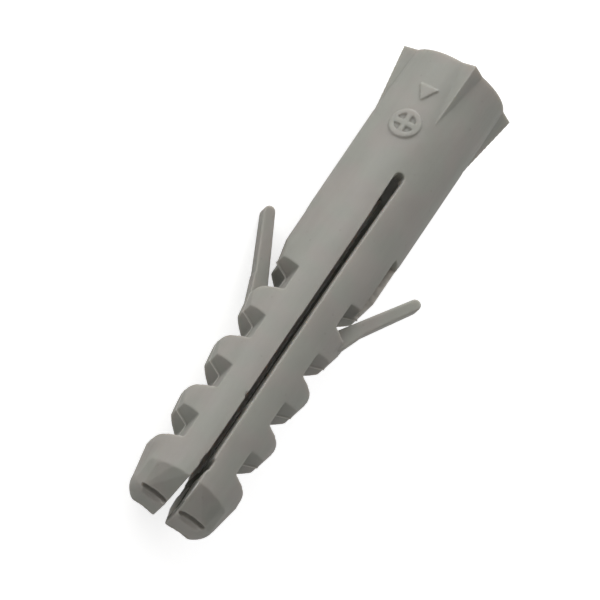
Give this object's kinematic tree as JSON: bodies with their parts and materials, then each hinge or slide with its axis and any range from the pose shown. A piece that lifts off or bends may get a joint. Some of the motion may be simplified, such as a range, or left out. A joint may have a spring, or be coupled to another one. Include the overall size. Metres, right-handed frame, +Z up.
{
  "type": "wall plug",
  "caption": "Moulded nylon expansion plug: slit sleeve with toothed flanks, two sprung anti-turn arms, fins at the mouth and a screw bore.",
  "frame": {"origin": "middle of the mouth, on the axis of the screw bore", "axes": "+Y along the bore axis and out of the mouth, the tip points to -Y; +Z up, with the plug lying on its side as it comes to rest on a fin and on its left arm"},
  "size_m": [0.0104, 0.036, 0.0078],
  "materials": {
    "nylon": "satin moulded nylon, warm grey"
  },
  "bodies": {
    "root": {"plug": "nylon"}
  },
  "joints": []
}
